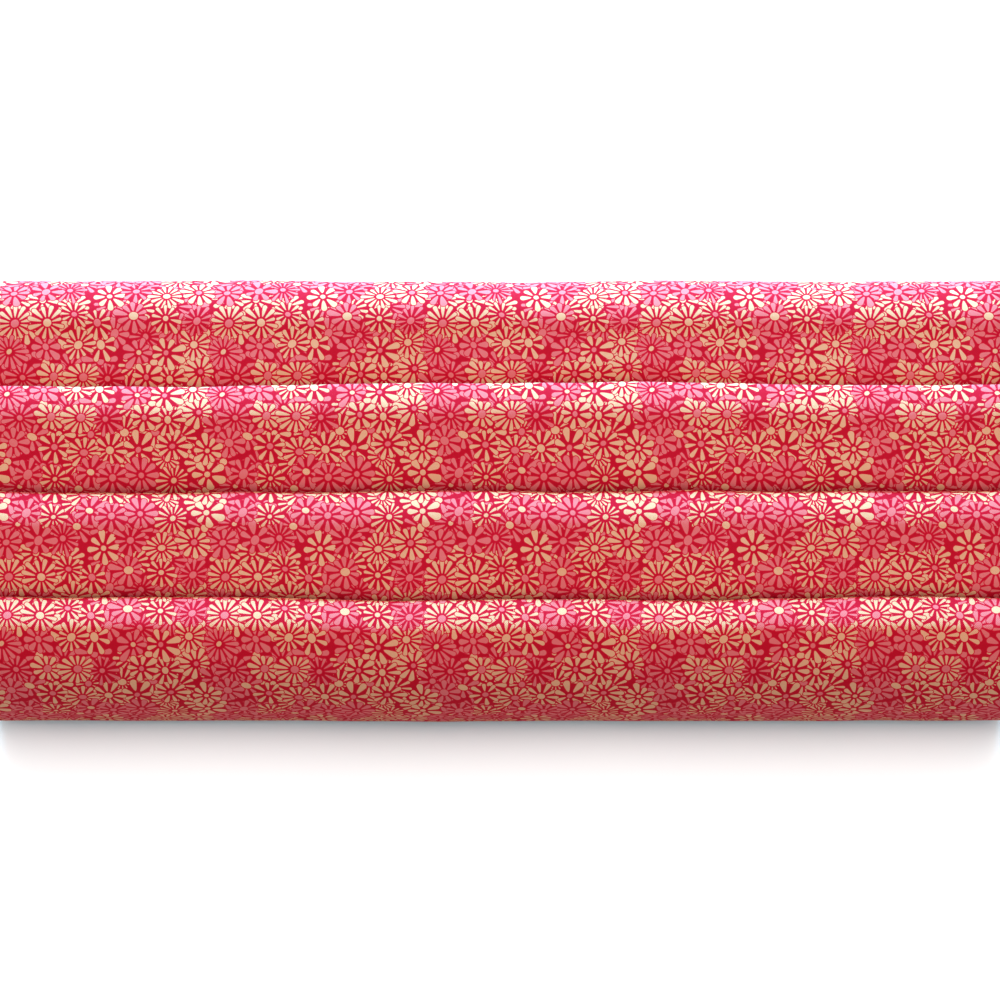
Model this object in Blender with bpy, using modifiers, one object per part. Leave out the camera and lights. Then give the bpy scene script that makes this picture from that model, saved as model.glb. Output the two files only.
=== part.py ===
"""Fabric bolt: doubled quilting cloth wound on a flat board core, its outer length laid in three soft pleats.

The bolt lies flat. X runs along the core, +Y points to the back long edge and Z is up. The floor is z = 0.
"""

import math

import bmesh
import bpy
from mathutils import Matrix

# Driving dimensions, in metres.
CLOTH_WIDTH = 0.559
CORE_LENGTH = 0.580
CORE_WIDTH = 0.206
CORE_THICKNESS = 0.018
BOARD = 0.0025
WINDING = 0.0165
SKIN = 0.0018
GAP = 0.0003
TIERS = 4
CREST_DEPTH = 0.034
CREST_HEIGHT = 0.016
BACK_LOFT = 0.0088
BACK_ROUNDING = 0.0299
FLOOR_CLEARANCE = 0.006

# Smaller shape choices, in metres.
CREST_SETBACK = 0.00415
TUCK_DEPTH = 0.008
CORNER_EXTRA = 0.0065
FREE_END_STANDOFF = 0.0009
FREE_END_FALL = 0.045
FREE_END_DROOP = 0.007
FLAP_THICKNESS = 0.002
LIP_LENGTH = 0.005
LIP_CLEARANCE = 0.0017
LIP_SIDE_CLEARANCE = 0.002
NOTCH_RADIUS = 0.009
RIB_END_CLEARANCE = 0.003
LABEL_SIZE = (0.0006, 0.150, 0.012)
LABEL_OFFSET = 0.030
BOARD_EDGE = 0.0003
BOARD_CREASE = 0.001
BOARD_FOLD = 0.0019

# Shares of the pleat pitch, then of a pleat's fall: how far it stays nearly level, and how much it sags there.
HIDDEN_SHARE = 0.55
HINGE_SHARE = 1 / 3
LEVEL_SHARE = 0.65
SAG_SHARE = 0.28
RIB_SHARE = 1 / 3

# Angles at which the outer length leaves the underside and starts to hang, and the steps of a curve.
BACK_START = -45
FREE_END_START = 125
QUARTER = 14
SMALL_QUARTER = 4
SMALL_ROUND = 0.004
FALL_STEPS = 16

# Heights and depths that follow from the dimensions above.
CORE_LOW = WINDING + GAP
CORE_HIGH = CORE_LOW + CORE_THICKNESS
WINDING_TOP = CORE_HIGH + GAP + WINDING
HALF_DEPTH = CORE_WIDTH / 2 + GAP + WINDING
CORNER = WINDING + CORNER_EXTRA
TAIL_LOW = WINDING_TOP + GAP
TAIL_HIGH = TAIL_LOW + SKIN
CREST_LOW = TAIL_HIGH + GAP
CREST_TOP = CREST_LOW + CREST_HEIGHT
PITCH = 2 * HALF_DEPTH / TIERS
HIDDEN = PITCH * HIDDEN_SHARE
HINGE_Y = -(HALF_DEPTH - PITCH * HINGE_SHARE)
HINGE_Z = CREST_TOP - FREE_END_DROOP

# Surface colours as sRGB hex, with roughness.
CLOTH_RED = ("#D95A60", 0.85)
WOUND_RED = ("#C94E55", 0.88)
KRAFT = ("#B98F62", 0.90)
KRAFT_INNER = ("#A87F55", 0.92)
LABEL_PAPER = ("#F1ECDF", 0.70)


def clear_scene():
    """Remove every object that the scene holds."""
    for item in list(bpy.data.objects):
        bpy.data.objects.remove(item, do_unlink=True)


def new_collection(name):
    """Make a collection under the scene's own and return it."""
    collection = bpy.data.collections.new(name)
    bpy.context.scene.collection.children.link(collection)
    return collection


def linear(value):
    """Turn one sRGB channel into linear light."""
    if value <= 0.04045:
        return value / 12.92
    return ((value + 0.055) / 1.055) ** 2.4


def material(name, finish):
    """Make a Principled material from a hex colour and a roughness."""
    colour, roughness = finish
    channels = [linear(int(colour[i : i + 2], 16) / 255) for i in (1, 3, 5)]
    made = bpy.data.materials.new(name)
    made.use_nodes = True
    shader = made.node_tree.nodes["Principled BSDF"]
    shader.inputs["Base Color"].default_value = (*channels, 1.0)
    shader.inputs["Roughness"].default_value = roughness
    shader.inputs["Metallic"].default_value = 0.0
    made.diffuse_color = (*channels, 1.0)
    return made


def arc(centre, radii, start, end):
    """List the points of an elliptical arc, with angles in degrees from +Y towards +Z."""
    quarter = QUARTER if max(radii) > SMALL_ROUND else SMALL_QUARTER
    steps = max(2, round(quarter * abs(end - start) / 90))
    points = []
    for i in range(steps + 1):
        angle = math.radians(start + (end - start) * i / steps)
        points.append((centre[0] + radii[0] * math.cos(angle), centre[1] + radii[1] * math.sin(angle)))
    return points


def rounded_rectangle(half_depth, low, high, radius):
    """List the outline of a rounded rectangle centred on y = 0."""
    points = []
    for side, level, start in ((1, high, 0), (-1, high, 90), (-1, low, 180), (1, low, 270)):
        inward = radius if level == low else -radius
        centre = (side * (half_depth - radius), level + inward)
        points += arc(centre, (radius, radius), start, start + 90)
    return points


def falling(y_start, z_start, y_end, z_end):
    """List the points of a surface that sags a little for a while and then falls smoothly."""
    points = []
    for i in range(1, FALL_STEPS + 1):
        share = i / FALL_STEPS
        late = max(0.0, (share - LEVEL_SHARE) / (1 - LEVEL_SHARE))
        ease = late * late * (3 - 2 * late)
        fallen = SAG_SHARE * share + (1 - SAG_SHARE) * ease
        points.append((y_start + (y_end - y_start) * share, z_start + (z_end - z_start) * fallen))
    return points


def closed_mesh(name, source):
    """Turn an object's shown shape into one merged mesh with its faces pointing out."""
    mesh = bpy.data.meshes.new_from_object(source)
    mesh.name = name
    work = bmesh.new()
    work.from_mesh(mesh)
    bmesh.ops.remove_doubles(work, verts=work.verts, dist=0.00001)
    bmesh.ops.recalc_face_normals(work, faces=work.faces)
    work.to_mesh(mesh)
    work.free()
    return mesh


def extruded(name, outlines, length):
    """Extrude closed Y-Z outlines along X; a second outline inside the first is a hole."""
    curve = bpy.data.curves.new(name + "_outline", "CURVE")
    curve.dimensions = "2D"
    curve.fill_mode = "BOTH"
    curve.extrude = length / 2
    for outline in outlines:
        spline = curve.splines.new("POLY")
        spline.points.add(len(outline) - 1)
        for point, (y, z) in zip(spline.points, outline):
            point.co = (y, z, 0, 1)
        spline.use_cyclic_u = True
    source = bpy.data.objects.new(name + "_outline", curve)
    mesh = closed_mesh(name, source)
    bpy.data.objects.remove(source)
    bpy.data.curves.remove(curve)
    along_x = Matrix(((0, 0, 1, 0), (1, 0, 0, 0), (0, 1, 0, 0), (0, 0, 0, 1)))
    mesh.transform(along_x)
    return mesh


def place(mesh, collection, finish, location=(0, 0, 0), smooth=False):
    """Put a mesh in the collection as an object of the same name, with its own material."""
    item = bpy.data.objects.new(mesh.name, mesh)
    item.location = location
    mesh.materials.append(material(mesh.name, finish))
    if smooth:
        mesh.shade_smooth()
        mesh.set_sharp_from_angle(angle=math.radians(35))
    collection.objects.link(item)
    return item


def box(name, low, high, collection):
    """Make a box between two corners, with its size in the mesh and its origin in the middle."""
    bpy.ops.mesh.primitive_cube_add(size=1)
    item = bpy.context.active_object
    item.name = name
    item.data.name = name
    size = [b - a for a, b in zip(low, high)]
    item.data.transform(Matrix.Diagonal((*size, 1)))
    item.location = [(a + b) / 2 for a, b in zip(low, high)]
    for holder in list(item.users_collection):
        holder.objects.unlink(item)
    collection.objects.link(item)
    return item


def combine(item, other, operation):
    """Add an exact Boolean of another object to this one."""
    modifier = item.modifiers.new(operation.lower(), "BOOLEAN")
    modifier.operation = operation
    modifier.solver = "EXACT"
    modifier.object = other


def ease_edges(item, width):
    """Round an object's edges a little."""
    modifier = item.modifiers.new("edges", "BEVEL")
    modifier.width = width
    modifier.segments = 2
    modifier.limit_method = "ANGLE"


def as_cutter(item):
    """Show a Boolean's tool as wire only."""
    item.hide_render = True
    item.display_type = "WIRE"


def crest_edge(tier):
    """Give the y of a tier's back fold."""
    return HALF_DEPTH - (tier - 1) * PITCH - CREST_SETBACK


def build_core_sleeve(parts, cutters):
    """Build the flat board tube, with a thumb notch in the top panel at each end."""
    outer = rounded_rectangle(CORE_WIDTH / 2, CORE_LOW, CORE_HIGH, BOARD_FOLD)
    inner = rounded_rectangle(CORE_WIDTH / 2 - BOARD, CORE_LOW + BOARD, CORE_HIGH - BOARD, BOARD_CREASE)
    mesh = extruded("core_sleeve", [outer, inner], CORE_LENGTH)
    sleeve = place(mesh, parts, KRAFT)
    for side, end in ((-1, "left"), (1, "right")):
        bpy.ops.mesh.primitive_cylinder_add(vertices=48, radius=NOTCH_RADIUS, depth=3 * BOARD)
        notch = bpy.context.active_object
        notch.name = "notch_cutter_" + end
        notch.location = (side * CORE_LENGTH / 2, 0, CORE_HIGH)
        for holder in list(notch.users_collection):
            holder.objects.unlink(notch)
        cutters.objects.link(notch)
        as_cutter(notch)
        combine(sleeve, notch, "DIFFERENCE")


def build_core_ribs(parts):
    """Build the two webs that stand on edge inside the sleeve."""
    half_length = CORE_LENGTH / 2 - LIP_LENGTH - RIB_END_CLEARANCE
    for side, name in ((-1, "core_rib_front"), (1, "core_rib_back")):
        middle = side * CORE_WIDTH / 2 * RIB_SHARE
        low = (-half_length, middle - BOARD / 2, CORE_LOW + BOARD + GAP)
        high = (half_length, middle + BOARD / 2, CORE_HIGH - BOARD - GAP)
        rib = box(name, low, high, parts)
        rib.data.materials.append(material(name, KRAFT_INNER))


def build_end_flap(parts, cutters, side, name):
    """Build one end flap and its tuck lip, with the origin on the fold at the lower edge."""
    fold = side * (CORE_LENGTH / 2 + GAP / 2)
    face = side * (CORE_LENGTH / 2 + GAP)
    back = face + side * FLAP_THICKNESS
    x_low, x_high = sorted((face, back))
    flap = box(name, (x_low, -CORE_WIDTH / 2, CORE_LOW), (x_high, CORE_WIDTH / 2, CORE_HIGH), parts)
    lip_half = CORE_WIDTH / 2 - BOARD - LIP_SIDE_CLEARANCE
    lip_high = CORE_HIGH - BOARD - LIP_CLEARANCE
    x_low, x_high = sorted((face - side * LIP_LENGTH, back - side * FLAP_THICKNESS / 2))
    low = (x_low, -lip_half, lip_high - FLAP_THICKNESS)
    lip = box("lip_" + name, low, (x_high, lip_half, lip_high), cutters)
    as_cutter(lip)
    centre = flap.location.copy()
    flap.location = (fold, 0, CORE_LOW)
    flap.data.transform(Matrix.Translation(centre - flap.location))
    combine(flap, lip, "UNION")
    ease_edges(flap, BOARD_EDGE)
    flap.data.materials.append(material(name, KRAFT))


def build_end_label(parts):
    """Build the blank paper label on the right end flap."""
    thickness, width, height = LABEL_SIZE
    face = CORE_LENGTH / 2 + 2 * GAP + FLAP_THICKNESS
    middle = (CORE_LOW + CORE_HIGH) / 2
    low = (face, LABEL_OFFSET - width / 2, middle - height / 2)
    high = (face + thickness, LABEL_OFFSET + width / 2, middle + height / 2)
    label = box("end_label", low, high, parts)
    label.data.materials.append(material("end_label", LABEL_PAPER))


def build_wound_cloth(parts):
    """Build the inner lengths of cloth as one ring around the core."""
    outer = rounded_rectangle(HALF_DEPTH, 0, WINDING_TOP, CORNER)
    inner = rounded_rectangle(CORE_WIDTH / 2 + GAP, CORE_LOW - GAP, CORE_HIGH + GAP, BOARD + GAP)
    mesh = extruded("wound_cloth", [outer, inner], CLOTH_WIDTH)
    place(mesh, parts, WOUND_RED, smooth=True)


def build_first_tier(parts):
    """Build the outer length where it comes round the back edge and over the top."""
    corner_y = HALF_DEPTH - CORNER
    lower = (corner_y, CORNER)
    upper = (corner_y, WINDING_TOP - CORNER)
    outside = CORNER + GAP + SKIN
    inside = CORNER + GAP
    loft_top = TAIL_HIGH + BACK_LOFT
    loft_y = corner_y + outside - BACK_ROUNDING
    outline = arc(lower, (outside, outside), BACK_START, 0)
    outline += arc((loft_y, upper[1]), (BACK_ROUNDING, loft_top - upper[1]), 0, 90)
    outline += falling(loft_y, loft_top, crest_edge(2) - TUCK_DEPTH, TAIL_HIGH)
    tail_end = crest_edge(2) - HIDDEN
    outline += [(tail_end, TAIL_HIGH), (tail_end, TAIL_LOW)]
    outline += arc(upper, (inside, inside), 90, 0)
    outline += arc(lower, (inside, inside), 0, BACK_START)
    mesh = extruded("tier_1_cloth", [outline], CLOTH_WIDTH)
    place(mesh, parts, CLOTH_RED, smooth=True)


def crest_outline():
    """List a pleat's back fold from its underside round to its top, with y = 0 at the fold's edge."""
    half_depth = CREST_DEPTH / 2
    half_height = CREST_HEIGHT / 2
    return arc((-half_depth, CREST_LOW + half_height), (half_depth, half_height), -90, 90)


def build_pleat(parts, tier):
    """Build one pleat: its back fold, its top, and the tail that the next pleat covers."""
    outline = crest_outline()
    outline += falling(-CREST_DEPTH / 2, CREST_TOP, -PITCH - TUCK_DEPTH, TAIL_HIGH)
    tail_end = -PITCH - HIDDEN
    step = -HIDDEN - GAP
    outline += [(tail_end, TAIL_HIGH), (tail_end, TAIL_LOW), (step, TAIL_LOW), (step, CREST_LOW)]
    name = f"pleat_{tier}"
    mesh = extruded(name, [outline], CLOTH_WIDTH)
    place(mesh, parts, CLOTH_RED, (0, crest_edge(tier), 0), smooth=True)


def build_last_pleat(parts):
    """Build the front pleat, which ends where the free end starts to hang."""
    edge = crest_edge(TIERS)
    front = HINGE_Y + GAP - edge
    start = -CREST_DEPTH / 2
    outline = crest_outline()
    for i in range(1, QUARTER + 1):
        share = i / QUARTER
        outline.append((start + (front - start) * share, CREST_TOP - FREE_END_DROOP * share * share))
    outline.append((front, CREST_LOW))
    name = f"pleat_{TIERS}"
    mesh = extruded(name, [outline], CLOTH_WIDTH)
    place(mesh, parts, CLOTH_RED, (0, edge, 0), smooth=True)


def build_free_end(parts):
    """Build the free end over the front edge, with its origin on the line that it lifts about."""
    front = -(HALF_DEPTH + FREE_END_STANDOFF + SKIN) - HINGE_Y
    turn = math.radians(FREE_END_START)
    depth = -front / (1 + math.cos(turn))
    centre = (front + depth, -FREE_END_FALL * math.sin(turn))
    inner_start = math.degrees(math.acos(-centre[0] / (depth - SKIN)))
    outer = arc(centre, (depth, FREE_END_FALL), FREE_END_START, 180)
    inner = arc(centre, (depth - SKIN, FREE_END_FALL - SKIN), 180, inner_start)
    low = FLOOR_CLEARANCE - HINGE_Z
    outline = outer + [(front, low), (front + SKIN, low)] + inner
    mesh = extruded("free_end", [outline], CLOTH_WIDTH)
    place(mesh, parts, CLOTH_RED, (0, HINGE_Y, HINGE_Z), smooth=True)


def main():
    """Build the whole bolt."""
    clear_scene()
    parts = new_collection("fabric_bolt")
    cutters = new_collection("fabric_bolt_cutters")
    build_core_sleeve(parts, cutters)
    build_core_ribs(parts)
    build_end_flap(parts, cutters, -1, "end_flap_left")
    build_end_flap(parts, cutters, 1, "end_flap_right")
    build_end_label(parts)
    build_wound_cloth(parts)
    build_first_tier(parts)
    for tier in range(2, TIERS):
        build_pleat(parts, tier)
    build_last_pleat(parts)
    build_free_end(parts)


main()
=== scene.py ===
"""Fabric bolt: the looks of a bolt of daisy-print quilting cotton, over its solid model.

The outer length is one doubled sheet that follows the real fold path, and the inner lengths are one doubled
spiral. Lengths are in metres: X along the core, +Y to the back long edge and +Z up.
"""
import math
from functools import partial

import bpy
import numpy as np
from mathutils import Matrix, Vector, noise


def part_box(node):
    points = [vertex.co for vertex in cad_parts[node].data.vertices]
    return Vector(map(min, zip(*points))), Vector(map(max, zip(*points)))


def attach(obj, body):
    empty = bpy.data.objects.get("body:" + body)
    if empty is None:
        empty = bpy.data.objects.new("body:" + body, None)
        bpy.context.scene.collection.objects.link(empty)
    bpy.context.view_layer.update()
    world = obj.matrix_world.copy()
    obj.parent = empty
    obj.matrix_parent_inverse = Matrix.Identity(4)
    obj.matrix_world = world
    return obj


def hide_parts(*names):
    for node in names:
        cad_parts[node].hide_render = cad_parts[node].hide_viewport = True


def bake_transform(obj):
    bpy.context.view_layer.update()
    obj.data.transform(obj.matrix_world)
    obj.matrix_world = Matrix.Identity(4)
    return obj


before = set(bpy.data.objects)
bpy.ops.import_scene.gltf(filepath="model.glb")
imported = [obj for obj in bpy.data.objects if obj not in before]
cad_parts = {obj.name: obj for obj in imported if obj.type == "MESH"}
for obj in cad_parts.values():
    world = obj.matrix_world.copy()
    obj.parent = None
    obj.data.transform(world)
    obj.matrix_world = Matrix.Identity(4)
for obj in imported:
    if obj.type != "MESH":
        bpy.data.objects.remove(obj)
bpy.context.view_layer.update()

bl_info = {
    "name": "Fabric bolt",
    "version": (1, 0, 0),
    "blender": (4, 5, 0),
    "location": "3D View > Sidebar > Fabric bolt",
    "description": "Dresses the solid model of a fabric bolt with printed cotton and board",
    "category": "Object",
}

MM = 0.001
UV_NAME = "cloth"
BOLT_BODY = "bolt"
TIERS = 4

MATHS = "ShaderNodeMath"
VECTOR = "ShaderNodeVectorMath"
JOIN = "ShaderNodeCombineXYZ"
SPLIT = "ShaderNodeSeparateXYZ"
GRAIN = "ShaderNodeTexWhiteNoise"

# Sizes read from the solid model.
WINDING_LOW, WINDING_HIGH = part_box("wound_cloth")
CORE_LOW, CORE_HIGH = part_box("core_sleeve")
FREE_LOW, FREE_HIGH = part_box("free_end")
CREST_EDGES = [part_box(f"pleat_{tier}")[1].y for tier in range(2, TIERS + 1)]
CREST_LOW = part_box("pleat_4")[0].z
CREST_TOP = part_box("pleat_4")[1].z
HALF_WIDTH = WINDING_HIGH.x
HALF_DEPTH = WINDING_HIGH.y
HIDDEN = CREST_EDGES[0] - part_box("tier_1_cloth")[0].y


def linear(hex_colour):
    """Turn an sRGB hex colour into linear RGBA."""
    channels = []
    for i in (1, 3, 5):
        value = int(hex_colour[i : i + 2], 16) / 255
        channels.append(value / 12.92 if value <= 0.04045 else ((value + 0.055) / 1.055) ** 2.4)
    return (*channels, 1.0)


def add(tree, kind, *inputs, **settings):
    """Add a node, set its own settings, and set or link its inputs in order (None leaves one alone)."""
    node = tree.nodes.new(kind)
    for name, value in settings.items():
        setattr(node, name, value)
    for socket, value in zip(node.inputs, inputs):
        if value is None:
            continue
        if isinstance(value, bpy.types.Node):
            value = value.outputs[0]
        if isinstance(value, bpy.types.NodeSocket):
            tree.links.new(value, socket)
        else:
            socket.default_value = value
    return node


def colour_prop(name, description, hex_colour):
    """Make a colour setting with its default given as sRGB hex."""
    return bpy.props.FloatVectorProperty(
        name=name, description=description, default=linear(hex_colour), size=4, min=0, max=1, subtype="COLOR"
    )


def length_prop(name, description, default):
    """Make a length setting in metres."""
    return bpy.props.FloatProperty(name=name, description=description, default=default, min=0, unit="LENGTH")


def count_prop(name, description, default, most):
    """Make a whole-number setting."""
    return bpy.props.IntProperty(name=name, description=description, default=default, min=3, max=most)


class FabricBoltPrint(bpy.types.PropertyGroup):
    """Colours and sizes of the daisy print."""

    ground: colour_prop("Ground", "Deep red behind the flowers", "#A20A1E")
    outline: colour_prop("Outline", "Red line round each petal", "#AE0F26")
    cream: colour_prop("Cream", "Cream petals and centres", "#C08868")
    pink: colour_prop("Pink", "Pink petals and centres", "#BC5858")
    repeat_across: length_prop("Repeat across", "Width of one repeat of the print", 0.118)
    repeat_along: length_prop("Repeat along", "Length of one repeat of the print", 0.0973)
    flowers_across: count_prop("Flowers across", "Flowers in a repeat's width", 7, 99)
    flowers_along: count_prop("Flowers along", "Flowers in a repeat's length", 6, 99)
    line_width: length_prop("Line width", "Width of the red line round a petal", 0.0005)


class FabricBoltCloth(bpy.types.PropertyGroup):
    """How the cloth lies."""

    ply_gap: length_prop("Ply gap", "Distance between the middles of the two plies", 0.00082)
    thickness: length_prop("Cotton thickness", "Thickness of one ply", 0.0003)
    wave: length_prop("Fold wave", "How far a fold's edge wanders", 0.0022)
    wrinkle: length_prop("Wrinkle", "Height of the cloth's soft unevenness", 0.0007)
    turns: count_prop("Turns", "Turns drawn in the winding", 12, 24)


class FabricBoltBoard(bpy.types.PropertyGroup):
    """Colours of the core and its label."""

    kraft: colour_prop("Kraft", "Outer face of the board", "#B98F62")
    kraft_inner: colour_prop("Kraft inside", "Ribs inside the core", "#A27A50")
    paper: colour_prop("Label paper", "Paper of the blank label", "#DED7C7")


# ---------------------------------------------------------------- print


# Each flower's random numbers come from these seeds.
FIRST_SEED, SEED_STEP, SLIDE_SEED = 1.7, 7.31, 3.1
# In cells of the print, about 17 mm across and 16 mm along the cloth: how far a flower's centre may wander from
# end to end, how far its petals reach and how large its centre spot is.
WANDER = 0.4
SHORTEST_REACH, MORE_REACH = 0.585, 0.11
SMALLEST_SPOT, LARGER_SPOT = 0.095, 0.07
# As shares: how much a flower is squashed, leans to one side and has short petals, and where along its reach the
# petals start and the spaces between them open.
SQUASH = 0.16
LOPSIDED = 0.15
SHORT_PETAL = 0.25
PETAL_START = 0.32
OPEN_FROM = 0.80
# Petals: how many, how full, how slim at the root and how fast they widen.
FEWEST_PETALS, MORE_PETALS, FEW_LIKELY = 7.7, 7.0, 1.4
SLIMMEST, FULLER = 0.47, 0.27
SLIM_ROOT = 0.22
WIDENING = 0.65
LONGEST_SPOT, ROUNDER_SPOT = 0.75, 0.55
PINK_SHARE = 0.5
# Multiplied by these, one random number gives another.
SPOT_SHUFFLE, RANK_SHUFFLE = 7.0, 13.0
# A second layer of flowers lies half a cell over, with random numbers of its own, and ranks behind the first.
BEHIND_PLACE = (0.5, 0.5, 1.5)
BEHIND_DEPTH = 0.9


def daisy_group():
    """Build the node group that draws the flower of one cell corner: its rank (-1 outside it) and its ink."""
    tree = bpy.data.node_groups.new("daisy", "ShaderNodeTree")
    for name, kind in (("Place", "Vector"), ("Corner", "Vector"), ("Cells", "Vector"), ("Line", "Float")):
        tree.interface.new_socket(name, in_out="INPUT", socket_type="NodeSocket" + kind)
    for name in ("Rank", "Ink"):
        tree.interface.new_socket(name, in_out="OUTPUT", socket_type="NodeSocketFloat")
    put = partial(add, tree)
    place, corner, cells, line = put("NodeGroupInput").outputs[:4]

    # Each row of cells is slid along by its own amount, so that flowers don't line up down the cloth.
    row = put(VECTOR, place, operation="FLOOR")
    row = put(VECTOR, row, corner, operation="ADD")
    row = put(VECTOR, row, (0, 1, 1), operation="MULTIPLY")
    row = put(VECTOR, row, cells, (0, 0, 0), operation="WRAP")
    slide = put(GRAIN, row, SLIDE_SEED, noise_dimensions="4D")
    slide = put(JOIN, slide, 0.0, 0.0)
    place = put(VECTOR, place, slide, operation="ADD")

    # The flower's own random numbers, the same in every repeat.
    index = put(VECTOR, place, operation="FLOOR")
    index = put(VECTOR, index, corner, operation="ADD")
    flower = put(VECTOR, index, cells, (0, 0, 0), operation="WRAP")
    random = []
    for number in range(4):
        grain = put(GRAIN, flower, number * SEED_STEP + FIRST_SEED, noise_dimensions="4D")
        random += put("ShaderNodeSeparateColor", grain.outputs["Color"]).outputs
    wander_x, wander_y, turn, narrow, many, phase, lean, size, full, spot_long, spot_size, pink = random

    # The place as seen from the flower's centre, turned and squashed the flower's own way.
    wander = put(JOIN, wander_x, wander_y, 0.5)
    wander = put(VECTOR, wander, (0.5, 0.5, 0.5), operation="SUBTRACT")
    wander = put(VECTOR, wander, (WANDER, WANDER, 0), operation="MULTIPLY")
    centre = put(VECTOR, index, wander, operation="ADD")
    away = put(VECTOR, place, centre, operation="SUBTRACT")
    away = put(VECTOR, away, (1, 1, 0), operation="MULTIPLY")
    turn = put(MATHS, turn, 2 * math.pi, operation="MULTIPLY")
    away = put("ShaderNodeVectorRotate", away, None, None, turn, rotation_type="Z_AXIS")
    squash = put(MATHS, narrow, SQUASH, 1.0, operation="MULTIPLY_ADD")
    squash = put(JOIN, 1.0, squash, 0.0)
    away = put(VECTOR, away, squash, operation="MULTIPLY")
    away_x, away_y, _ = put(SPLIT, away).outputs
    radius = put(VECTOR, away, operation="LENGTH").outputs["Value"]
    angle = put(MATHS, away_y, away_x, operation="ARCTAN2")

    # Petals: how many, which one the place is in, and how long that one is.
    count = put(MATHS, many, FEW_LIKELY, operation="POWER")
    count = put(MATHS, count, MORE_PETALS, FEWEST_PETALS, operation="MULTIPLY_ADD")
    count = put(MATHS, count, operation="FLOOR")
    sector = put(MATHS, angle, count, operation="MULTIPLY")
    sector = put(MATHS, sector, 2 * math.pi, operation="DIVIDE")
    sector = put(MATHS, sector, phase, operation="ADD")
    petal = put(MATHS, sector, operation="FLOOR")
    petal = put(MATHS, petal, count, 0.0, operation="WRAP")
    across = put(MATHS, sector, operation="FRACT")
    across = put(MATHS, across, 0.5, operation="SUBTRACT")
    across = put(MATHS, across, operation="ABSOLUTE")
    side = put(MATHS, angle, operation="COSINE")
    lopsided = put(MATHS, lean, LOPSIDED, operation="MULTIPLY")
    lopsided = put(MATHS, side, lopsided, operation="MULTIPLY")
    lopsided = put(MATHS, lopsided, 1.0, operation="ADD")
    uneven = put(GRAIN, flower, petal, noise_dimensions="4D").outputs["Value"]
    uneven = put(MATHS, uneven, -SHORT_PETAL, 1.0, operation="MULTIPLY_ADD")
    reach = put(MATHS, size, MORE_REACH, SHORTEST_REACH, operation="MULTIPLY_ADD")
    reach = put(MATHS, reach, lopsided, operation="MULTIPLY")
    reach = put(MATHS, reach, uneven, operation="MULTIPLY")
    share = put(MATHS, radius, reach, operation="DIVIDE")
    swing = put(MATHS, 2 * math.pi, count, operation="DIVIDE")
    swing = put(MATHS, swing, across, operation="MULTIPLY")
    along = put(MATHS, swing, operation="COSINE")
    along = put(MATHS, share, along, operation="MULTIPLY")
    beside = put(MATHS, swing, operation="SINE")
    beside = put(MATHS, share, beside, operation="MULTIPLY")

    # A petal is a capsule that is narrow at the centre and round at its tip.
    fullness = put(MATHS, full, FULLER, SLIMMEST, operation="MULTIPLY_ADD")
    slope = put(MATHS, math.pi, count, operation="DIVIDE")
    slope = put(MATHS, slope, operation="SINE")
    slope = put(MATHS, slope, fullness, operation="MULTIPLY")
    tip = put(MATHS, slope, 1.0, operation="ADD")
    tip = put(MATHS, slope, tip, operation="DIVIDE")
    root = put(MATHS, slope, SLIM_ROOT, operation="MULTIPLY")
    tip_at = put(MATHS, 1.0, tip, operation="SUBTRACT")
    down = put("ShaderNodeMapRange", along, PETAL_START, tip_at, 0.0, 1.0)
    petal_length = put(MATHS, tip_at, PETAL_START, operation="SUBTRACT")
    nearest = put(MATHS, down, petal_length, PETAL_START, operation="MULTIPLY_ADD")
    off = put(MATHS, along, nearest, operation="SUBTRACT")
    off = put(JOIN, off, beside, 0.0)
    off = put(VECTOR, off, operation="LENGTH").outputs["Value"]
    swell = put(MATHS, down, WIDENING, operation="POWER")
    width = put(MATHS, tip, root, operation="SUBTRACT")
    width = put(MATHS, swell, width, root, operation="MULTIPLY_ADD")
    petal_gap = put(MATHS, off, width, operation="SUBTRACT")
    petal_gap = put(MATHS, petal_gap, reach, operation="MULTIPLY")

    # The centre is a round or long spot.
    spot = put(MATHS, spot_long, ROUNDER_SPOT, LONGEST_SPOT, operation="MULTIPLY_ADD")
    spot = put(JOIN, spot, 1.0, 0.0)
    spot = put(VECTOR, away, spot, operation="MULTIPLY")
    spot = put(VECTOR, spot, operation="LENGTH").outputs["Value"]
    spot_radius = put(MATHS, spot_size, LARGER_SPOT, SMALLEST_SPOT, operation="MULTIPLY_ADD")
    spot_gap = put(MATHS, spot, spot_radius, operation="SUBTRACT")

    # Inks: 1 is the outline, 2 cream and 3 pink.
    petal_pink = put(MATHS, pink, PINK_SHARE, operation="LESS_THAN")
    spot_pink = put(MATHS, pink, SPOT_SHUFFLE, operation="MULTIPLY")
    spot_pink = put(MATHS, spot_pink, operation="FRACT")
    spot_pink = put(MATHS, spot_pink, PINK_SHARE, operation="LESS_THAN")
    inner_line = put(MATHS, line, -1.0, operation="MULTIPLY")
    fills = []
    for gap, is_pink in ((petal_gap, petal_pink), (spot_gap, spot_pink)):
        filled = put(MATHS, gap, inner_line, operation="LESS_THAN")
        colour = put(MATHS, is_pink, 1.0, operation="ADD")
        fills.append(put(MATHS, filled, colour, operation="MULTIPLY"))
    in_spot = put(MATHS, spot_gap, line, operation="LESS_THAN")
    in_petal = put(MATHS, petal_gap, line, operation="LESS_THAN")
    inside = put(MATHS, in_spot, in_petal, operation="MAXIMUM")
    ink = put("ShaderNodeMix", in_spot, None, *fills)
    ink = put(MATHS, ink, inside, operation="ADD")

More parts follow.
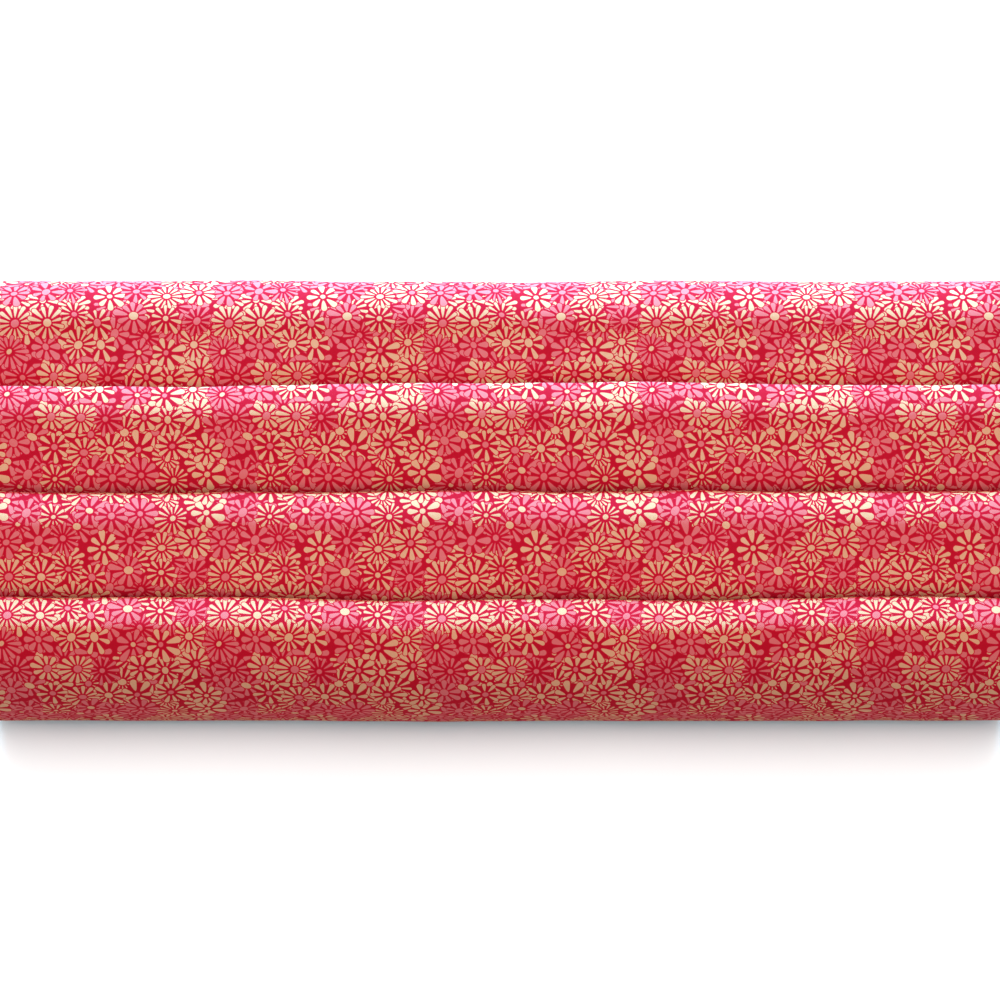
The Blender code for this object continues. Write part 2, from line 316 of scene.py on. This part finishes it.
    # Between its petals a flower shows the ground, except near their tips, where the ones behind peep out.
    solid = put(MATHS, share, OPEN_FROM, operation="LESS_THAN")
    inside = put(MATHS, inside, solid, operation="MAXIMUM")
    rank = put(MATHS, lean, RANK_SHUFFLE, operation="MULTIPLY")
    rank = put(MATHS, rank, operation="FRACT")
    rank = put(MATHS, rank, 1.0, operation="ADD")
    rank = put(MATHS, inside, rank, operation="MULTIPLY")
    rank = put(MATHS, rank, 1.0, operation="SUBTRACT")
    put("NodeGroupOutput", rank, ink)
    return tree


def print_group(settings):
    """Build the node group that gives the print's colour from the cloth's own coordinates, in metres."""
    tree = bpy.data.node_groups.new("daisy_print", "ShaderNodeTree")
    tree.interface.new_socket("Color", in_out="OUTPUT", socket_type="NodeSocketColor")
    put = partial(add, tree)
    cells = (settings.flowers_across, settings.flowers_along, 4)
    scale = (cells[0] / settings.repeat_across, cells[1] / settings.repeat_along, 0)
    cloth_place = put("ShaderNodeUVMap", uv_map=UV_NAME)
    front = put(VECTOR, cloth_place, scale, operation="MULTIPLY")
    behind = put(VECTOR, front, BEHIND_PLACE, operation="ADD")
    line = settings.line_width / 2 * scale[0]
    daisy = daisy_group()
    best_rank, best_ink = -1.0, 0.0
    for layer in (front, behind):
        for corner in ((0, 0, 0), (1, 0, 0), (0, 1, 0), (1, 1, 0)):
            rank, ink = put("ShaderNodeGroup", layer, corner, cells, line, node_tree=daisy).outputs
            if layer is behind:
                rank = put(MATHS, rank, BEHIND_DEPTH, operation="SUBTRACT")
            above = put(MATHS, rank, best_rank, operation="GREATER_THAN")
            best_ink = put("ShaderNodeMix", above, None, best_ink, ink)
            best_rank = put(MATHS, rank, best_rank, operation="MAXIMUM")
    # Inks 0 to 3 each take a quarter of the ramp.
    quarter = put(MATHS, best_ink, 0.25, 0.125, operation="MULTIPLY_ADD")
    ramp = put("ShaderNodeValToRGB", quarter)
    ramp.color_ramp.interpolation = "CONSTANT"
    stops = ramp.color_ramp.elements
    stops[0].color = settings.ground
    stops[1].position = 0.25
    stops[1].color = settings.outline
    stops.new(0.5).color = settings.cream
    stops.new(0.75).color = settings.pink
    put("NodeGroupOutput", ramp)
    return tree


WEAVE_SPACING = 1 * MM
WEAVE_HEIGHT = 0.12 * MM


def cotton_material(settings):
    """Printed plain-weave cotton.

    Reactive-dyed quilting cotton, pressed and not glazed: a matt face with only a trace of sheen from its surface
    fibres, and a fine even weave. The weave is drawn at 1 mm, coarser than the real 0.35 mm, so that it shows.
    """
    made = bpy.data.materials.new("printed_cotton")
    made.use_nodes = True
    tree = made.node_tree
    shader = tree.nodes["Principled BSDF"]
    colour = add(tree, "ShaderNodeGroup", node_tree=print_group(settings))
    tree.links.new(colour.outputs[0], shader.inputs["Base Color"])
    shader.inputs["Roughness"].default_value = 0.82
    shader.inputs["Specular IOR Level"].default_value = 0.03
    shader.inputs["Sheen Weight"].default_value = 0.01
    shader.inputs["Sheen Roughness"].default_value = 0.45
    shader.inputs["Sheen Tint"].default_value = linear("#FFDCEB")
    cloth_place = add(tree, "ShaderNodeUVMap", uv_map=UV_NAME)
    threads = []
    for side in add(tree, SPLIT, cloth_place).outputs[:2]:
        phase = add(tree, MATHS, side, 2 * math.pi / WEAVE_SPACING, operation="MULTIPLY")
        threads.append(add(tree, MATHS, phase, operation="SINE"))
    weave = add(tree, MATHS, *threads, operation="MULTIPLY")
    bump = add(tree, "ShaderNodeBump")
    bump.inputs["Strength"].default_value = 0.35
    bump.inputs["Distance"].default_value = WEAVE_HEIGHT
    tree.links.new(weave.outputs[0], bump.inputs["Height"])
    tree.links.new(bump.outputs[0], shader.inputs["Normal"])
    return made


def plain_material(name, colour, roughness):
    """Build a material of one colour."""
    made = bpy.data.materials.new(name)
    made.use_nodes = True
    shader = made.node_tree.nodes["Principled BSDF"]
    shader.inputs["Base Color"].default_value = colour
    shader.inputs["Roughness"].default_value = roughness
    return made


# Kraft corrugated board: unbleached fibre, calendered dull. Its fibres and the painted shadows of its flutes are
# drawn about 17 mm long and 1.4 mm wide, coarser than real ones, so that they show.
BOARD_ROUGHNESS, BOARD_FIBRES_AND_FLUTE_SHADOWS, BOARD_SHADES = 0.88, (60, 700, 700), (0.88, 1.07)
# Label paper: bleached and uncoated, so a bright matt face with a faint mottle. It is drawn about 1 mm across,
# coarser than real fibres, so that it shows.
PAPER_ROUGHNESS, PAPER_FIBRES, PAPER_SHADES = 0.7, (900, 900, 900), (0.95, 1.03)


def fibre_and_flute_shadow_material(name, colour, roughness, fibres_and_flute_shadows_per_metre, shades):
    """Build a material of pressed fibres in darker and paler shades of one colour; on the board, also painted flute
    shadows.
    """
    made = plain_material(name, colour, roughness)
    tree = made.node_tree
    shader = tree.nodes["Principled BSDF"]
    place = add(tree, "ShaderNodeTexCoord").outputs["Object"]
    stretched = add(tree, "ShaderNodeMapping", place, None, None, fibres_and_flute_shadows_per_metre)
    # Darker and paler streaks: fibre tone, and on the board also painted shadow of the flutes.
    fibres = add(tree, "ShaderNodeTexNoise", stretched)
    fibres.inputs["Scale"].default_value = 1.0
    fibres.inputs["Detail"].default_value = 4.0
    ramp = add(tree, "ShaderNodeValToRGB", fibres)
    for stop, position, shade in zip(ramp.color_ramp.elements, (0.3, 0.7), shades):
        stop.position = position
        stop.color = (*(min(1.0, channel * shade) for channel in colour[:3]), 1.0)
    tree.links.new(ramp.outputs[0], shader.inputs["Base Color"])
    return made


# ---------------------------------------------------------------- cloth shapes


def arc(centre, radii, start, end, steps):
    """List the points of an elliptical arc, with angles in degrees from +Y towards +Z."""
    angles = np.radians(np.linspace(start, end, steps))
    return [(centre[0] + radii[0] * math.cos(a), centre[1] + radii[1] * math.sin(a)) for a in angles]


def smooth_path(points, step):
    """Run a smooth curve through (y, z, more...) rows and return rows about step apart, with the length so far."""
    points = np.array(points, float)
    padded = np.vstack([2 * points[0] - points[1], points, 2 * points[-1] - points[-2]])
    rows = []
    for a, b, c, d in zip(padded, padded[1:], padded[2:], padded[3:]):
        slope = c - a
        bend = 2 * a - 5 * b + 4 * c - d
        twist = 3 * b - a - 3 * c + d
        for t in np.linspace(0, 1, 12, endpoint=False):
            rows.append(0.5 * (2 * b + slope * t + bend * t**2 + twist * t**3))
    rows.append(points[-1])
    rows = np.array(rows)
    length = np.concatenate([[0], np.cumsum(np.linalg.norm(np.diff(rows[:, :2], axis=0), axis=1))])
    at = np.linspace(0, length[-1], int(length[-1] / step) + 2)
    return np.column_stack([np.interp(at, length, column) for column in rows.T]), at


# How far the cloth's middle lies inside the solid pleats' faces.
INSET = 0.65 * MM
# The radius of the winding's own corners, and the outer length's round them.
CORNER = 23 * MM
OUTER_CORNER = 24.1 * MM
# The first tier comes over the back edge in a quarter-ellipse this deep. It starts this far above the middle of the
# corner and ends this far under the solid tier's top.
LOFT_DEPTH = 29 * MM
LOFT_START = 2 * MM
LOFT_INSET = 0.8 * MM
# Each hidden layer lies this far above the winding.
TAIL_LIFT = 1.0 * MM
# The outer length's way down under a fold: millimetres ahead of the fold's edge, height, wave and freedom.
TUCK = ((36, 16.2, -0.7, 1), (27, 15.1, -0.5, 1), (18, 14.0, -0.3, 1), (12, 13.3, -0.2, 1), (7, 12.6, -0.1, 0.8),
        (3, 11.1, 0, 0.5), (0.9, 8.2, 0, 0.2), (-2, 4.6, 0, 0), (-4, 3.3, 0, 0), (-8, 1.6, 0, 0), (-13, 0.5, 0, 0),
        (-18, 0, 0, 0))
TUCK_HEIGHT = 16.75 * MM
FIRST_TUCK_FROM = 30
# The hidden fold: millimetres ahead of its line, share of the way to the upper layer, and millimetres more.
HIDDEN_FOLD = ((3, 0, 0), (0.6, 0, 0.3), (0.1, 0.5, 0), (1.2, 1, -0.1), (6, 1, 0.1))
FOLD_DEPTH = 16 * MM
# A fold's upper half: millimetres behind its edge and the share of its half height.
CREST = ((0.4, 0.14), (1.3, 0.28), (3.0, 0.42), (6.0, 0.62), (9.5, 0.80), (13.5, 0.94), (18.0, 1.0))
CREST_DEPTH = 18
# Over the front: millimetres behind the hinge and above it, with the fold wave that the cloth follows there. Then
# the free end's own elliptical fall, and for its hem the millimetres ahead of the front and above the floor.
BEFORE_HINGE = ((11, 4.6, 0.2), (5, 2.0, 0.3))
FREE_INSET, FREE_DROP = 0.9 * MM, 0.6 * MM
FREE_FALL, FREE_START = 45 * MM, 125
HEM = ((0.2, 16), (0.3, 11), (0.4, 6.8))
OUTER_STEP = 2.4 * MM


def outer_path():
    """Give the outer length's path as rows of y, z, which fold's wave it follows, how free it is to rise, length."""
    corner_y = HALF_DEPTH - CORNER
    rows = [(*p, 1, 0) for p in arc((corner_y, CORNER), (OUTER_CORNER, OUTER_CORNER), -45, 0, 6)]
    loft_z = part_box("tier_1_cloth")[1].z - LOFT_INSET
    loft_y = corner_y + OUTER_CORNER - LOFT_DEPTH
    start_z = WINDING_HIGH.z - CORNER + LOFT_START
    rows += [(*p, 1, 1) for p in arc((loft_y, start_z), (LOFT_DEPTH, loft_z - start_z), 0, 90, 9)]
    tail_z = WINDING_HIGH.z + TAIL_LIFT
    upper_z = CREST_LOW + INSET
    half_height = (CREST_TOP - CREST_LOW) / 2
    middle = CREST_LOW + half_height
    reach = half_height - INSET
    for number, edge in enumerate(CREST_EDGES, start=2):
        first = number == 2
        height = (loft_z - tail_z) / TUCK_HEIGHT if first else 1.0
        for ahead, rise, wave, free in TUCK:
            if ahead < FIRST_TUCK_FROM or not first:
                rows.append((edge + ahead * MM, tail_z + rise * MM * height, number + wave, free))
        for ahead, share, more in HIDDEN_FOLD:
            z = tail_z + (upper_z - tail_z) * share + more * MM
            rows.append((edge - HIDDEN + ahead * MM, z, number, 0))
        fold = arc((edge - FOLD_DEPTH, middle), (FOLD_DEPTH - INSET, reach), -90, 0, 8)
        rows += [(*p, number, 0) for p in fold]
        for back, share in CREST:
            rows.append((edge - INSET - back * MM, middle + reach * share, number, back / CREST_DEPTH))
    hinge_y, hinge_z = FREE_HIGH.y, FREE_HIGH.z
    rows += [(hinge_y + back * MM, hinge_z + rise * MM, TIERS + wave, 1) for back, rise, wave in BEFORE_HINGE]
    front = FREE_LOW.y + FREE_INSET
    turn = math.radians(FREE_START)
    depth = (hinge_y - front) / (1 + math.cos(turn))
    centre = (front + depth, hinge_z - FREE_DROP - FREE_FALL * math.sin(turn))
    rows += [(*p, TIERS + 0.6, 1) for p in arc(centre, (depth, FREE_FALL), FREE_START, 180, 9)]
    rows += [(front - ahead * MM, height * MM, TIERS + 1, 0.6) for ahead, height in HEM]
    path, length = smooth_path(rows, OUTER_STEP)
    return np.column_stack([path, length])


# The winding: its path's distance out from the core at its start, at its end and where the outer length joins.
FIRST_OUT, LAST_OUT, JOIN_OUT = 0.65 * MM, 15.85 * MM, 17.4 * MM
CORE_GAP = 0.3 * MM
INNER_RADIUS, RADIUS_GROWTH = 2.8 * MM, 1.224
QUARTERS = ((1, -1, -90), (1, 1, 0), (-1, 1, 90), (-1, -1, 180))
WINDING_STEP = 4.5 * MM


def winding_corner(out, side_y, side_z, start, end):
    """Give the rows round one corner of the core, so far out from it."""
    radius = INNER_RADIUS + out * RADIUS_GROWTH
    middle_z = (CORE_LOW.z + CORE_HIGH.z) / 2
    half_height = (CORE_HIGH.z - CORE_LOW.z) / 2
    y = side_y * (CORE_HIGH.y + CORE_GAP + out - radius)
    z = middle_z + side_z * (half_height + CORE_GAP + out - radius)
    return [(*p, 1, 0) for p in arc((y, z), (radius, radius), start, end, 8)]


def straight(before, after):
    """Give four rows evenly between two rows."""
    before = np.array(before)
    gap = np.array(after) - before
    return [tuple(before + gap * share) for share in (0.2, 0.4, 0.6, 0.8)]


def spiral_path(turns):
    """Give the winding's path from the core out to where the outer length starts, as rows like outer_path()'s."""
    rows = []
    for turn in range(turns):
        for quarter, (side_y, side_z, start) in enumerate(QUARTERS):
            out = FIRST_OUT + (LAST_OUT - FIRST_OUT) * (turn + quarter / 4) / turns
            corner = winding_corner(out, side_y, side_z, start, start + 90)
            if rows:
                rows += straight(rows[-1], corner[0])
            rows += corner
    inner = winding_corner(LAST_OUT, 1, -1, -90, -45)
    outer = winding_corner(JOIN_OUT, 1, -1, -90, -45)
    rows += straight(rows[-1], inner[0])
    for share, a, b in zip(np.linspace(0, 1, len(inner)), inner, outer):
        ease = share * share * (3 - 2 * share)
        rows.append(tuple(np.array(a) * (1 - ease) + np.array(b) * ease))
    path, length = smooth_path(rows, WINDING_STEP)
    return np.column_stack([path, length])


# Noise that softens the folds: turns per metre across, step from fold to fold, seed and strength.
FOLD_WAVES = ((9.0, 3.7, 0.3, 1.4), (30.0, 5.1, 7.7, 0.35))
FOLDS = TIERS + 4
# The back edge and the free end wander less than the folds do.
CALM_FOLDS, CALM_SHARE = (1, TIERS + 1), 0.3
# Noise that softens the surface: turns per metre across and along, seed and strength.
WRINKLES = ((14, 22, 1.7, 1), (40, 55, 4.2, 0.5))
# The cut edges wander this many times per metre, with a seed, over this width of cloth.
EDGE_TURNS, EDGE_SEED = 11.0, 3.1
EDGE_WIDTH = 30 * MM
END_INSET = 0.2 * MM
PLY_FOLD_STEPS = 7


def fold_wave(number, x):
    """Say how far a tier's fold edge wanders at x, from -1 to 1 or so."""
    wave = 0
    for scale, spread, seed, strength in FOLD_WAVES:
        wave += noise.noise(Vector((x * scale, number * spread, seed))) * strength
    return wave * CALM_SHARE if number in CALM_FOLDS else wave


def wrinkle_at(x, along):
    """Say how far the cloth's surface wanders at a place, from -1 to 1 or so."""
    return sum(noise.noise(Vector((x * a, along * b, seed))) * strength for a, b, seed, strength in WRINKLES)


def doubled_columns(settings, columns):
    """Give each column of a doubled sheet: its x, its distance out from the path and the cloth's width so far."""
    ply = settings.ply_gap / 2
    end = HALF_WIDTH - ply - settings.thickness
    across = np.linspace(HALF_WIDTH - END_INSET, -end, columns)
    turn = np.radians(np.linspace(0, 180, PLY_FOLD_STEPS))[1:-1]
    xs = np.concatenate([across, -end - ply * np.sin(turn), across[::-1]])
    offsets = np.concatenate([np.full(columns, ply), ply * np.cos(turn), np.full(columns, -ply)])
    widths = np.concatenate([[0], np.cumsum(np.hypot(np.diff(xs), np.diff(offsets)))])
    return xs, offsets, widths


def cloth_sheet(name, path, settings, columns, start_length, wave, wrinkle, ragged):
    """Build a doubled sheet along a path: the outer ply, the fold at the left end, and the inner ply."""
    xs, offsets, widths = doubled_columns(settings, columns)
    y, z, follows, free, length = path.T
    step_y, step_z = np.gradient(y), np.gradient(z)
    size = np.hypot(step_y, step_z)
    normal_y, normal_z = step_z / size, -step_y / size
    low = np.floor(follows).astype(int)
    part = follows - low
    waves = {x: [wave * fold_wave(number, x) for number in range(FOLDS)] for x in np.unique(xs)}
    near_end = np.maximum(0, (np.abs(xs) - HALF_WIDTH + EDGE_WIDTH) / EDGE_WIDTH) ** 2
    verts, uvs = [], []
    for r in range(len(path)):
        edge = ragged * MM * noise.noise(Vector((length[r] * EDGE_TURNS, EDGE_SEED, ragged)))
        for x, offset, width, near in zip(xs, offsets, widths, near_end):
            shift = waves[x][low[r]] * (1 - part[r]) + waves[x][low[r] + 1] * part[r]
            out = offset + wrinkle * free[r] * wrinkle_at(x, length[r]) if wrinkle else offset
            end = math.copysign(near, x) * edge
            verts.append((x + end, y[r] + normal_y[r] * out + shift, z[r] + normal_z[r] * out))
            uvs.append((width, start_length + length[r]))
    wide = len(xs)
    faces = []
    for r in range(len(path) - 1):
        for c in range(wide - 1):
            a = r * wide + c
            faces.append((a, a + 1, a + wide + 1, a + wide))
    mesh = bpy.data.meshes.new(name)
    mesh.from_pydata(verts, [], faces)
    layer = mesh.uv_layers.new(name=UV_NAME)
    corners = np.zeros(len(mesh.loops), np.int32)
    mesh.loops.foreach_get("vertex_index", corners)
    layer.data.foreach_set("uv", np.array(uvs, np.float32)[corners].ravel())
    mesh.shade_smooth()
    sheet = bpy.data.objects.new(name, mesh)
    bpy.context.scene.collection.objects.link(sheet)
    thick = sheet.modifiers.new("cotton", "SOLIDIFY")
    thick.thickness = settings.thickness
    thick.offset = 0
    return sheet, widths[-1]


# ---------------------------------------------------------------- operators


OUTER_COLUMNS, WINDING_COLUMNS = 72, 10
# How far the cut edges wander, in millimetres.
OUTER_RAGGED, WINDING_RAGGED = 0.8, 1.2
# The floor is wide enough to fill every view. The window lies low and cool behind, so that it reaches only the
# folds' back slopes, and the soft box hangs overhead.
FLOOR_SIZE = 30
LAMPS = (
    ("window", (0.0, 2.2, 0.34), (1.6, 0.36), 450, "#66D6FF"),
    ("softbox", (0.0, 1.25, 2.5), (3.0, 3.0), 106, "#FFEFE9"),
)
ROOM_COLOUR, ROOM_STRENGTH = "#E9FAFF", 0.66
VIEW_ELEVATION = math.radians(78)
VIEW_DISTANCE = 2.6
VIEW_WIDTH = 0.549
VIEW_TARGET = Vector((0, -0.0079, 0.055))
SENSOR_MM = 36


def give(finish, *nodes):
    """Give some pieces of the solid model a finish as their only material."""
    for name in nodes:
        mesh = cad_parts[name].data
        mesh.materials.clear()
        mesh.materials.append(finish)


class FABRICBOLT_OT_outer_length(bpy.types.Operator):
    """Lay the outer length of cloth: the back edge, four tiers and the free end"""

    bl_idname = "fabric_bolt.outer_length"
    bl_label = "Outer length"

    def execute(self, context):
        settings = context.scene.fabric_bolt_cloth
        path = outer_path()
        start = spiral_path(settings.turns)[-1, 4]
        softness = (settings.wave, settings.wrinkle, OUTER_RAGGED)
        cloth, width = cloth_sheet("outer_length", path, settings, OUTER_COLUMNS, start, *softness)
        cloth.data.materials.append(cotton_material(context.scene.fabric_bolt_print))
        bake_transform(cloth)
        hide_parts("tier_1_cloth", "pleat_2", "pleat_3", "pleat_4", "free_end")
        return {"FINISHED"}


class FABRICBOLT_OT_winding(bpy.types.Operator):
    """Wind the inner lengths of cloth round the core"""

    bl_idname = "fabric_bolt.winding"
    bl_label = "Winding"

    def execute(self, context):
        settings = context.scene.fabric_bolt_cloth
        path = spiral_path(settings.turns)
        cloth, width = cloth_sheet("winding", path, settings, WINDING_COLUMNS, 0.0, 0.0, 0.0, WINDING_RAGGED)
        cloth.data.materials.append(bpy.data.materials["printed_cotton"])
        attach(cloth, BOLT_BODY)
        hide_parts("wound_cloth")
        return {"FINISHED"}


class FABRICBOLT_OT_core(bpy.types.Operator):
    """Give the core, its ribs and its end flaps their board"""

    bl_idname = "fabric_bolt.core"
    bl_label = "Core"

    def execute(self, context):
        settings = context.scene.fabric_bolt_board
        # The board's streaks are partly its fibre tone and partly painted shadow of its flutes.
        board = (BOARD_ROUGHNESS, BOARD_FIBRES_AND_FLUTE_SHADOWS, BOARD_SHADES)
        outside = fibre_and_flute_shadow_material("kraft_board", tuple(settings.kraft), *board)
        inside = fibre_and_flute_shadow_material("kraft_board_inside", tuple(settings.kraft_inner), *board)
        give(outside, "core_sleeve", "end_flap_left", "end_flap_right")
        give(inside, "core_rib_front", "core_rib_back")
        return {"FINISHED"}


class FABRICBOLT_OT_label(bpy.types.Operator):
    """Give the blank end label its paper"""

    bl_idname = "fabric_bolt.label"
    bl_label = "Label"

    def execute(self, context):
        colour = tuple(context.scene.fabric_bolt_board.paper)
        give(fibre_and_flute_shadow_material("label_paper", colour, PAPER_ROUGHNESS, PAPER_FIBRES, PAPER_SHADES), "end_label")
        return {"FINISHED"}


class FABRICBOLT_OT_stage(bpy.types.Operator):
    """Set the floor, the lights and the camera"""

    bl_idname = "fabric_bolt.stage"
    bl_label = "Stage"

    def execute(self, context):
        scene = context.scene
        bpy.ops.mesh.primitive_plane_add(size=FLOOR_SIZE)
        floor = context.active_object
        floor.name = "floor"
        floor.data.materials.append(plain_material("floor_white", linear("#FAFAFA"), 0.9))
        scene.world = bpy.data.worlds.new("studio")
        scene.world.use_nodes = True
        room = scene.world.node_tree.nodes["Background"].inputs
        room["Color"].default_value = linear(ROOM_COLOUR)
        room["Strength"].default_value = ROOM_STRENGTH
        for name, place, size, watts, colour in LAMPS:
            light = bpy.data.lights.new(name, "AREA")
            light.shape = "RECTANGLE"
            light.size, light.size_y = size
            light.energy = watts
            light.color = linear(colour)[:3]
            lamp = bpy.data.objects.new(name, light)
            lamp.location = place
            lamp.rotation_euler = (-Vector(place)).to_track_quat("-Z", "Y").to_euler()
            scene.collection.objects.link(lamp)
        camera = bpy.data.objects.new("camera", bpy.data.cameras.new("camera"))
        camera.data.sensor_width = SENSOR_MM
        camera.data.lens = SENSOR_MM * VIEW_DISTANCE / VIEW_WIDTH
        back = Vector((0, -math.cos(VIEW_ELEVATION), math.sin(VIEW_ELEVATION)))
        camera.location = VIEW_TARGET + back * VIEW_DISTANCE
        camera.rotation_euler = back.to_track_quat("Z", "Y").to_euler()
        scene.collection.objects.link(camera)
        scene.camera = camera
        scene.view_settings.view_transform = "Standard"
        return {"FINISHED"}


class FABRICBOLT_PT_panel(bpy.types.Panel):
    """Lists the bolt's steps and settings"""

    bl_idname = "FABRICBOLT_PT_panel"
    bl_label = "Fabric bolt"
    bl_space_type = "VIEW_3D"
    bl_region_type = "UI"
    bl_category = "Fabric bolt"

    def draw(self, context):
        for operator in OPERATORS:
            self.layout.operator(operator.bl_idname)
        scene = context.scene
        for group in (scene.fabric_bolt_print, scene.fabric_bolt_cloth, scene.fabric_bolt_board):
            for name in group.__annotations__:
                self.layout.prop(group, name)


OPERATORS = (
    FABRICBOLT_OT_outer_length,
    FABRICBOLT_OT_winding,
    FABRICBOLT_OT_core,
    FABRICBOLT_OT_label,
    FABRICBOLT_OT_stage,
)
GROUPS = (FabricBoltPrint, FabricBoltCloth, FabricBoltBoard)
CLASSES = (*GROUPS, *OPERATORS, FABRICBOLT_PT_panel)


def register():
    """Register the add-on's classes and settings."""
    for item in CLASSES:
        bpy.utils.register_class(item)
    bpy.types.Scene.fabric_bolt_print = bpy.props.PointerProperty(type=FabricBoltPrint)
    bpy.types.Scene.fabric_bolt_cloth = bpy.props.PointerProperty(type=FabricBoltCloth)
    bpy.types.Scene.fabric_bolt_board = bpy.props.PointerProperty(type=FabricBoltBoard)


def unregister():
    """Remove the add-on's classes and settings."""
    del bpy.types.Scene.fabric_bolt_board
    del bpy.types.Scene.fabric_bolt_cloth
    del bpy.types.Scene.fabric_bolt_print
    for item in reversed(CLASSES):
        bpy.utils.unregister_class(item)


def main():
    """Dress the bolt."""
    register()
    bpy.ops.fabric_bolt.outer_length()
    bpy.ops.fabric_bolt.winding()
    bpy.ops.fabric_bolt.core()
    bpy.ops.fabric_bolt.label()
    bpy.ops.fabric_bolt.stage()


if __name__ == "__main__":
    main()
